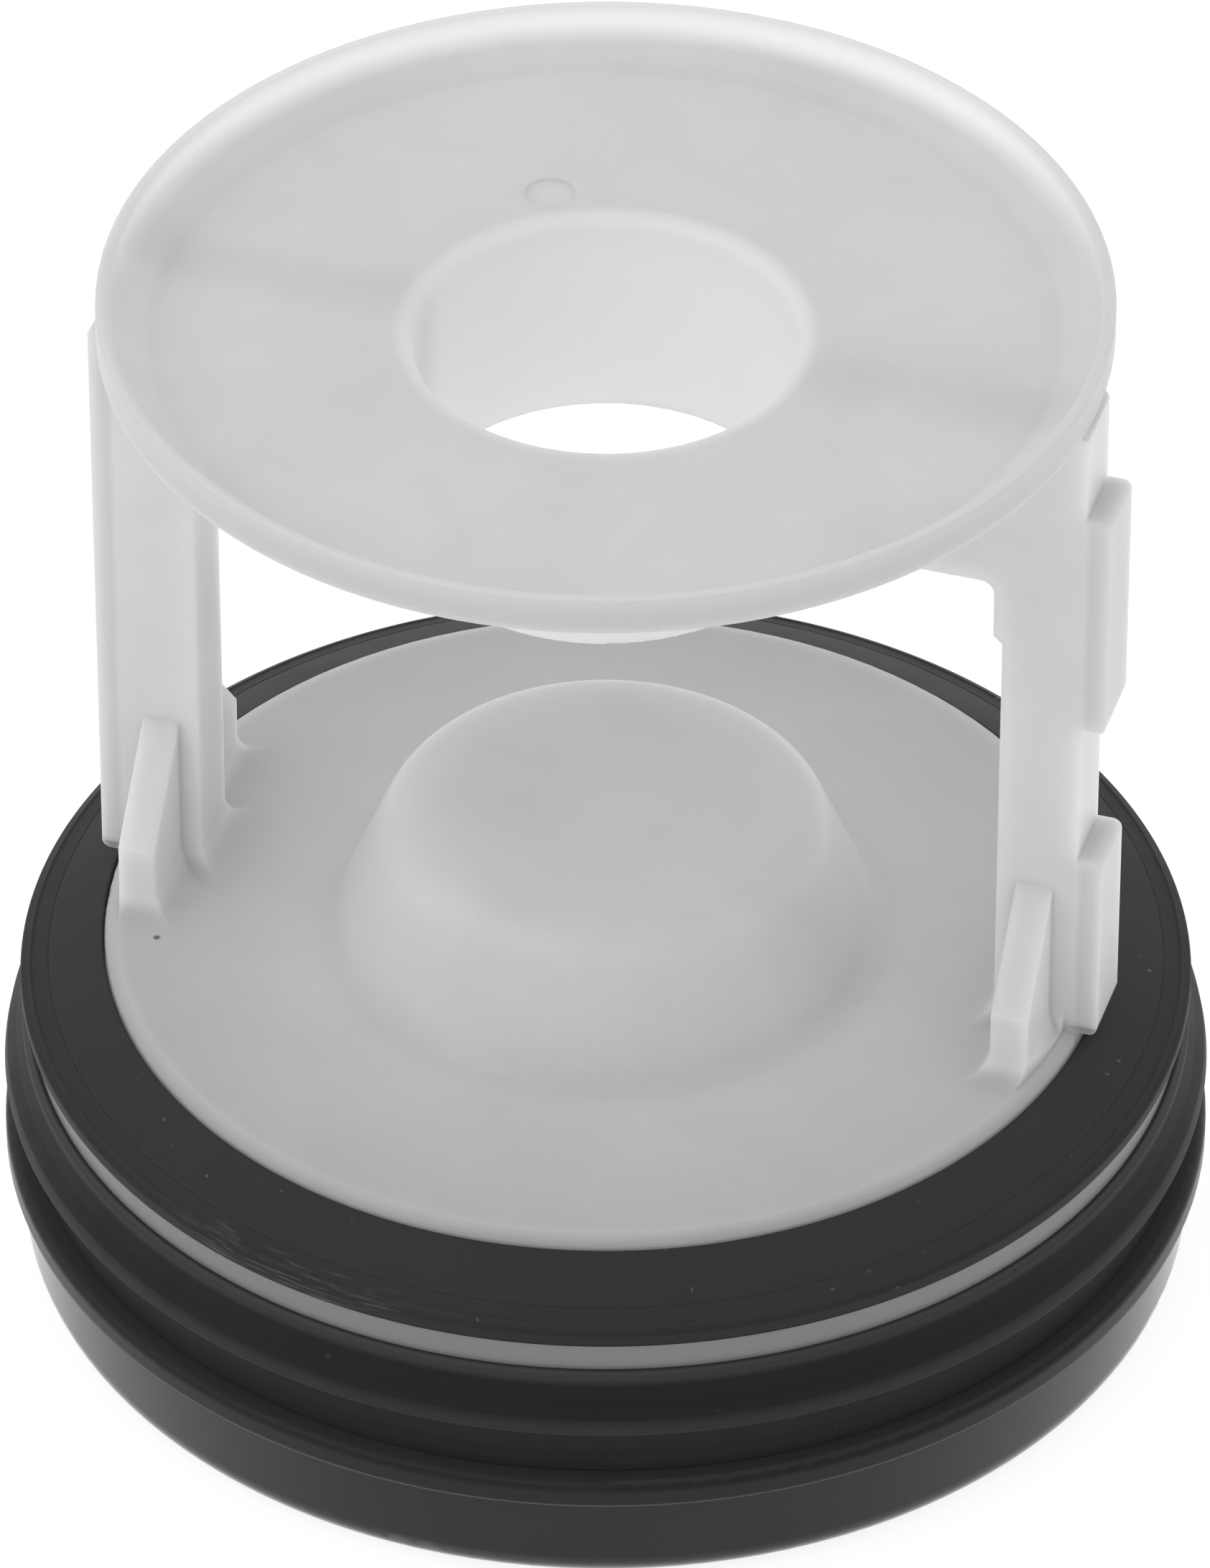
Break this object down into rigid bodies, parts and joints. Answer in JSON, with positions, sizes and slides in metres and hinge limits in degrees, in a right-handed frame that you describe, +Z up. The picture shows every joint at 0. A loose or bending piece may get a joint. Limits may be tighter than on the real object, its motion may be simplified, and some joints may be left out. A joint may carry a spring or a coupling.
{
  "type": "washing machine filter",
  "caption": "Drain-pump filter insert: a white plastic cage with a top dish and central tube on two legs, over a domed base with rubber seals and a dark cap with a recessed grip.",
  "frame": {"origin": "on the axis of the seals, in the plane that the cap rests on", "axes": "+Z up along the axis, from the cap to the top dish; -Y is the side that the picture is taken from"},
  "size_m": [0.066, 0.066, 0.062],
  "materials": {
    "white_plastic": "satin",
    "black_rubber": "matte",
    "dark_plastic": "satin"
  },
  "bodies": {
    "root": {"filter_body": "white_plastic", "upper_seal": "black_rubber", "lip_seal": "black_rubber", "grip_cap": "dark_plastic"}
  },
  "joints": []
}
